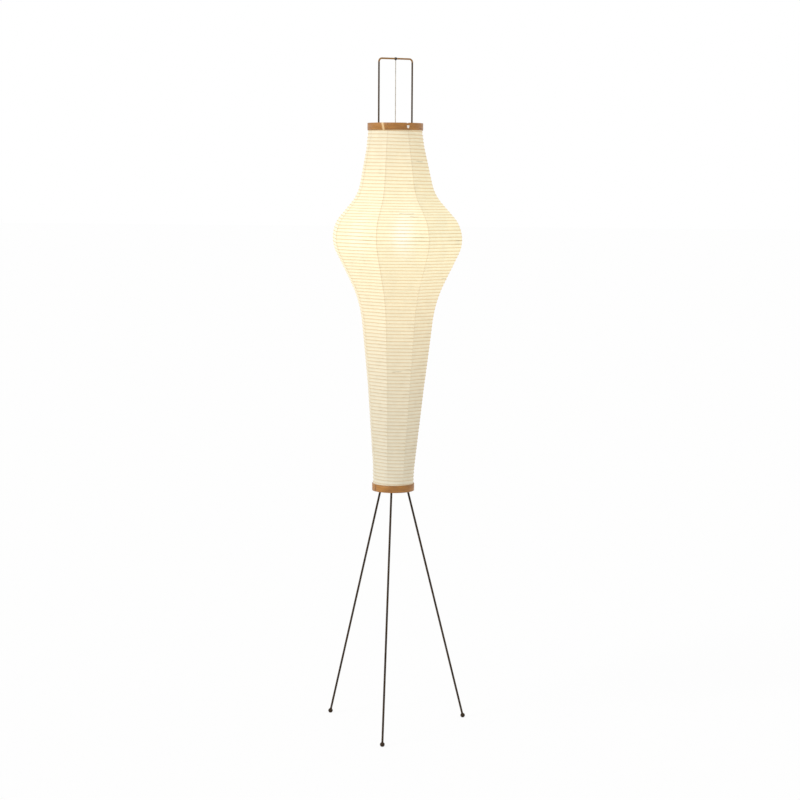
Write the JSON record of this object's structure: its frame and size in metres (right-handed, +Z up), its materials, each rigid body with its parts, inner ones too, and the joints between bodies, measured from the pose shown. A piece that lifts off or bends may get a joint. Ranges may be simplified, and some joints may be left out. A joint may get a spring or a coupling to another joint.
{
  "type": "paper lantern floor lamp",
  "caption": "Tall eight-sided paper lantern on a spiral bamboo rib, held by a wire bail and string above slim tripod legs.",
  "frame": {"origin": "under the middle of the whole lamp's outline, on the floor; the lamp's upright axis stands 22.3 mm behind it", "axes": "+Z up along the lantern, -Y towards the viewer and the front foot, +X to the viewer's right"},
  "size_m": [0.3934, 0.4075, 1.8517],
  "materials": {
    "bronze_wire": "thin satin dark bronze lacquer on steel rod, worn lighter on the top bar",
    "ball_feet": "satin dark bronze lacquer",
    "bronze_plate": "satin dark bronze lacquer on pressed steel",
    "bentwood": "honey brown oiled strip with the grain running round the ring",
    "washi": "thin cream kozo paper with loose dark fibres, lit from inside",
    "bamboo": "split bamboo, dry and pale",
    "twine": "pale twisted cotton cord",
    "knots": "cream waxed cord, drawn tight",
    "dark_whipping": "dark waxed thread in close turns",
    "hook_wire": "plain drawn wire",
    "grommet_rubber": "matt black moulded rubber",
    "holder_plastic": "matt off-white thermoset",
    "plated_brass": "bright turned brass",
    "bulb_glass": "opal glass with an even warm glow",
    "bulb_cap": "rolled thin screw cap"
  },
  "bodies": {
    "stand": {"leg_front": "bronze_wire", "leg_right": "bronze_wire", "leg_left": "bronze_wire", "foot_balls": "ball_feet", "hub_plate": "bronze_plate", "leg_sockets": "bronze_plate", "upright_sockets": "bronze_plate", "cable_grommet": "grommet_rubber", "upright_left": "bronze_wire", "upright_right": "bronze_wire", "bridge_bar": "bronze_plate", "bridge_ferrules": "bronze_plate", "bail": "bronze_wire", "bar_knot": "dark_whipping", "hanging_string": "twine", "bottom_ring": "bentwood", "ring_brackets": "bronze_plate", "bamboo_rib": "bamboo", "holder_nipple": "plated_brass", "lock_nuts": "plated_brass", "holder_cap": "holder_plastic", "holder_body": "holder_plastic", "holder_ring": "holder_plastic", "holder_shell": "plated_brass", "centre_contact": "plated_brass", "paper_gore_1": "washi", "paper_gore_2": "washi", "paper_gore_3": "washi", "paper_gore_4": "washi", "paper_gore_5": "washi", "paper_gore_6": "washi", "paper_gore_7": "washi", "paper_gore_8": "washi"},
    "shade_top": {"top_ring": "bentwood", "bridle_string": "twine", "bridle_beads": "knots", "string_hook": "hook_wire"},
    "bulb": {"bulb_cap": "bulb_cap", "bulb_glass": "bulb_glass"}
  },
  "joints": [
    {"name": "shade_collapse", "type": "slide", "parent": "stand", "child": "shade_top", "axis": [0, 0, 1], "range_m": [-0.24, 0], "deforming": ["paper_gore_1", "paper_gore_2", "paper_gore_3", "paper_gore_4", "paper_gore_5", "paper_gore_6", "paper_gore_7", "paper_gore_8", "bamboo_rib", "hanging_string"]},
    {"name": "bulb_out", "type": "slide", "parent": "stand", "child": "bulb", "axis": [0, 0, 1], "range_m": [0, 0.02]}
  ]
}
